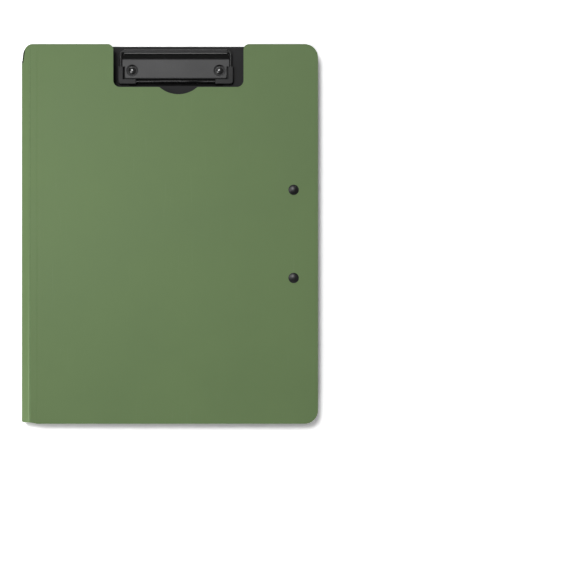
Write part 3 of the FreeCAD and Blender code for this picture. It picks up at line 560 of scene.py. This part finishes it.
def grey_sleeve():
    """Moulded grip sleeves: charcoal grey, spark-eroded grain, satin."""
    material, tree, shader, place = new_finish("sleeve_grey", specular=0.16)
    grain = effect(tree, "moulded_grain", place, Cells_per_metre=2800.0)
    mottle = effect(tree, "slow_mottle", place, Patches_per_metre=90.0)
    edges = effect(tree, "worn_edges", place, Reach=0.0003)
    colour = coats(
        tree,
        blend_colour(tree, mottle["Mask"], paint(39, 39, 40), paint(45, 45, 46)),
        (grain["Fleck"], 0.35, paint(30, 30, 31)),
        (edges["Mask"], 0.3, paint(84, 84, 84)),
    )
    fill(tree, shader["Base Color"], colour)
    fill(tree, shader["Roughness"], spread(tree, mottle["Mask"], 0, 1, 0.42, 0.52))
    fill(tree, shader["Normal"], relief(tree, grain["Height"], 0.00002))
    return material


FINISHES["bail_wire"] = black_wire()
FINISHES["sleeve"] = grey_sleeve()
print("finishes:", FINISHES["bail_wire"].name, FINISHES["sleeve"].name)

# %% [markdown]
# ## Rivets
# The rivets are enamelled black. Their caps inside the folder are still glossy, so they get a clear coat,
# and the heads outside have lost it to handling. One material does both, because the distance from midway
# tells a cap from a head.

# %% Rivets
OUTSIDE = (0.005, 0.0055)  # from midway


def rivet_black():
    """Black enamel: coated and glossy on the caps inside the folder, bare and duller on the heads outside."""
    material, tree, shader, place = new_finish("rivet_black_enamel", specular=0.45, coat_roughness=0.12)
    mottle = effect(tree, "slow_mottle", place, Patches_per_metre=260.0)
    scuffs = effect(tree, "hairline_scuffs", place, Lines_per_metre=2600.0)
    outside = spread(tree, from_midway(tree, place), *OUTSIDE)
    colour = blend_colour(tree, mottle["Mask"], paint(10, 10, 11), paint(17, 17, 18))
    fill(tree, shader["Base Color"], coats(tree, colour, (scuffs["Mask"], 0.5, paint(58, 58, 58))))
    glossy = spread(tree, mottle["Mask"], 0, 1, 0.22, 0.32)
    fill(tree, shader["Roughness"], maths(tree, "ADD", glossy, maths(tree, "MULTIPLY", outside, 0.1)))
    fill(tree, shader["Coat Weight"], spread(tree, outside, 0, 1, 0.9, 0.0))
    return material


FINISHES["rivet"] = rivet_black()
print("finishes:", ", ".join(finish.name for finish in FINISHES.values()))

# %% [markdown]
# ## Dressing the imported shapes
# The boards, strips, plates, sleeves, wires and rivets already have the right shape, so they keep it and
# only change their material. A node's name says what it is made of.

# %% Finishes on the nodes
WORN_BY = {
    "_skin": "cover_outside",
    "_hinge": "cover_outside",
    "_core": "cover_inside",
    "_plate": "clip_plate",
    "_bail": "bail_wire",
    "_sleeve": "sleeve",
    "_rivets": "rivet",
}
for name, node in nodes.items():
    kind = next(slot for ending, slot in WORN_BY.items() if name.endswith(ending))
    node.data.materials.clear()
    node.data.materials.append(FINISHES[kind])
print(f"{len(nodes)} nodes have their finish")

# %% [markdown]
# ## Bends that open
# At each crease the core is grooved right through and only the thin skin is left, bent round a small
# radius. When the folder opens, that skin flattens. A stiff node can't do this. Each bend is made here as
# a new piece in its closed shape, and the stiff node is hidden.
# Its section is a slice of a ring: the outer and inner arc share one centre, and their ends stand square
# on the two panels. The joint's range is how far the crease is bent when closed, so the ring follows from
# the frame. Beside the boards the crease was also pressed from outside, and the skin is thinner there.

# %% The section of a bend
CREASES = ["rear_strip", "rear_spine", "front_spine", "front_strip"]
GAP = 0.0006  # between the two panels' cores
PRESSED = 0.00018
SKIN = float(np.diff([corner[2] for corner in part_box("back_board_skin")])[0])
STEPS = 13
bends = np.radians([joints[f"{crease}_crease"]["range_deg"][1] for crease in CREASES])
middles = np.cumsum(bends) - bends / 2


def ring_slice(axis, bend, middle, pressed):
    """x and z along the outer arc, and back along the inner one, about a crease's axis.

    With half the bend h, the middle line's radius is (gap / 2) / tan h, and its centre stands
    (gap / 2) / sin h off the axis, along the line that halves the fold. Angles run from -h to h."""
    half = bend / 2
    radius = GAP / 2 / math.tan(half) + np.array([SKIN / 2 - pressed, -SKIN / 2])
    lean = np.linspace(-half, half, STEPS)
    angle = np.concatenate([lean, lean[::-1]])
    arm = np.repeat(radius, STEPS)
    across, inward = arm * np.sin(angle), GAP / 2 / math.sin(half) - arm * np.cos(angle)
    x = axis[0] + across * math.cos(middle) + inward * math.sin(middle)
    z = axis[2] - across * math.sin(middle) + inward * math.cos(middle)
    return x, z


print("bends in degrees:", dict(zip(CREASES, np.degrees(bends).round(1).tolist())))

# %% [markdown]
# ## Skin across the creases
# Each section is carried straight along its crease, as far as the stiff node that it stands in for, and
# closed at both ends. The outer arc is green, and the inner arc and the ends are black.


# %% Skin across the creases
def bent_skin(crease, bend, middle):
    """A slice of a ring carried from the foot of the crease to its top."""
    joint = joints[f"{crease}_crease"]
    node = f"{crease}_hinge"
    low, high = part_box(node)
    x, z = ring_slice(joint["pos_m"], bend, middle, PRESSED if crease.endswith("strip") else 0.0)
    y = np.array([low[1], high[1]])
    points = np.stack(np.broadcast_arrays(x[None, :], y[:, None], z[None, :]), axis=-1)
    around = 2 * STEPS
    quads = grid_quads(2, around, wrap=True)[:, ::-1]
    ends = [list(range(around)), list(range(2 * around - 1, around - 1, -1))]
    black = np.concatenate([np.arange(around) >= STEPS, [True, True]])
    layers = [FINISHES["cover_outside"], FINISHES["cover_inside"]]
    piece = make_piece(f"{crease}_bend", points, quads.tolist() + ends, layers, black)
    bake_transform(piece)
    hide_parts(node)
    return piece


for crease, bend, middle in zip(CREASES, bends, middles):
    piece = bent_skin(crease, bend, middle)
    print(piece.name, f"bent {math.degrees(bend):.0f} degrees, {len(piece.data.polygons)} faces")

# %% [markdown]
# ## Light
# The photograph is a plain product shot: a broad key light from the top, a little to the left, a weaker
# light over the left side, dim surroundings, and a short soft shadow to the right and below. Flat satin
# faces mirror the key and look grey, while faces that lean away mirror the dim room and stay black, with
# shade also painted into the clip's hollows, which is what makes the clip read. A weak lamp from below
# adds to the highlight painted along the clip's barrel, and a low one on the left picks out the slope of
# the spine.


# %% World and lamps
def soft_lamp(name, place, aim, width, power):
    """A square lamp at place that faces aim."""
    lamp = bpy.data.lights.new(name, "AREA")
    lamp.shape = "SQUARE"
    lamp.size = width
    lamp.energy = power
    stand = bpy.data.objects.new(name, lamp)
    direction = np.subtract(aim, place)
    away = math.hypot(direction[0], direction[1])
    stand.location = place
    stand.rotation_euler = (math.atan2(away, -direction[2]), 0, math.atan2(-direction[0], direction[1]))
    bpy.context.scene.collection.objects.link(stand)


world = bpy.data.worlds.new("dim_room")
bpy.context.scene.world = world
world.use_nodes = True
room = world.node_tree.nodes["Background"].inputs
room["Color"].default_value = (1, 1, 1, 1)
room["Strength"].default_value = 0.15
soft_lamp("key_lamp", place=(-0.5, 1.05, 3.0), aim=(0, 0, 0), width=1.0, power=51.0)
soft_lamp("side_lamp", place=(-0.2, 0.05, 0.36), aim=(-0.1, 0.04, 0), width=0.2, power=0.43)
soft_lamp("front_lamp", place=(0.0, -0.9, 0.6), aim=(0, 0.1, 0), width=0.25, power=0.9)
soft_lamp("spine_lamp", place=(-0.3, -0.36, 0.012), aim=(-0.118, -0.13, 0.01), width=0.02, power=1.2)
print("lamps:", [lamp.name for lamp in bpy.data.lights])

# %% [markdown]
# ## Ground
# The folder lies on white. The ground is a wide dish, so that every view has it behind the folder. It
# turns white only for the camera and for mirrors, so it throws no more light on the folder, and it keeps
# the shadow.

# %% Ground
HUB = 0.001  # radius of the dish's middle face
UNDER = 0.00005  # how far the ground lies below the folder
SEEN_WHITE = (1.6, 1.6, 1.6, 1)


def dish(flat, rim, height, rings, around):
    """Flat out to one radius, then a quarter-ellipse that rises to its full height at the rim."""
    turn = np.linspace(0, math.pi / 2, rings)
    radius = np.concatenate([[HUB, flat / 2], flat + (rim - flat) * np.sin(turn)])
    level = np.concatenate([[0, 0], height * (1 - np.cos(turn))]) + cad_box[0][2] - UNDER
    angle = np.linspace(0, 2 * math.pi, around, endpoint=False)
    x, y = np.outer(radius, np.cos(angle)), np.outer(radius, np.sin(angle))
    return np.stack([x, y, np.outer(level, np.ones(around))], axis=-1)


def white_ground():
    """Matt white with a faint grain.

    The camera and mirrors see it two thirds brighter, and see the far ground, beyond the lamps, glow."""
    material, tree, shader, place = new_finish("ground_white", specular=0.0)
    path = add(tree, "LightPath").outputs
    seen = maths(tree, "MAXIMUM", path["Is Camera Ray"], path["Is Transmission Ray"])
    seen = maths(tree, "MAXIMUM", seen, path["Is Glossy Ray"])
    grain = add(tree, "TexNoise", Vector=place, Scale=900.0)
    white = blend_colour(tree, grain.outputs[0], (0.94, 0.94, 0.94, 1), (0.97, 0.97, 0.97, 1))
    fill(tree, shader["Base Color"], blend_colour(tree, seen, white, SEEN_WHITE))
    shader["Roughness"].default_value = 0.9
    far = add(tree, "VectorMath", {"operation": "LENGTH"}, Vector=place).outputs["Value"]
    glow = spread(tree, far, 0.5, 1.8, 0.0, 0.85)
    fill(tree, shader["Emission Strength"], maths(tree, "MULTIPLY", seen, glow))
    return material


ground_points = dish(flat=1.2, rim=3.0, height=1.6, rings=14, around=48)
hub_face = list(range(ground_points.shape[1]))
ground_faces = grid_quads(*ground_points.shape[:2], wrap=True).tolist() + [hub_face]
ground = make_piece("ground", ground_points, ground_faces, [white_ground()])
print(f"ground: {len(ground.data.polygons)} faces, level {cad_box[0][2] - UNDER:.5f}")

# %% [markdown]
# ## Camera
# The photograph looks straight down, and the closed folder lies in its upper left. One pixel is 0.8214 mm
# on the cover, and the cover's middle is at pixel 169.5, 233.9 of 576. The edge of the back board shows
# 2.5 pixels inside the cover's, which puts the camera just under a metre above the folder.

# %% Camera
PIXELS = 576
PER_PIXEL = 0.0008214
DISTANCE = 0.966
MIDDLE = (169.5, 233.9)
SENSOR = 36
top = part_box("front_cover_skin")[1][2]
camera = bpy.data.cameras.new("camera")
camera.sensor_width = SENSOR
camera.lens = SENSOR * DISTANCE / (PIXELS * PER_PIXEL)
eye = bpy.data.objects.new("camera", camera)
eye.location = ((PIXELS / 2 - MIDDLE[0]) * PER_PIXEL, (MIDDLE[1] - PIXELS / 2) * PER_PIXEL, top + DISTANCE)
bpy.context.scene.collection.objects.link(eye)
bpy.context.scene.camera = eye
bpy.context.scene.view_settings.view_transform = "Standard"
print(f"lens {camera.lens:.1f} mm at {tuple(round(v, 4) for v in eye.location)}")
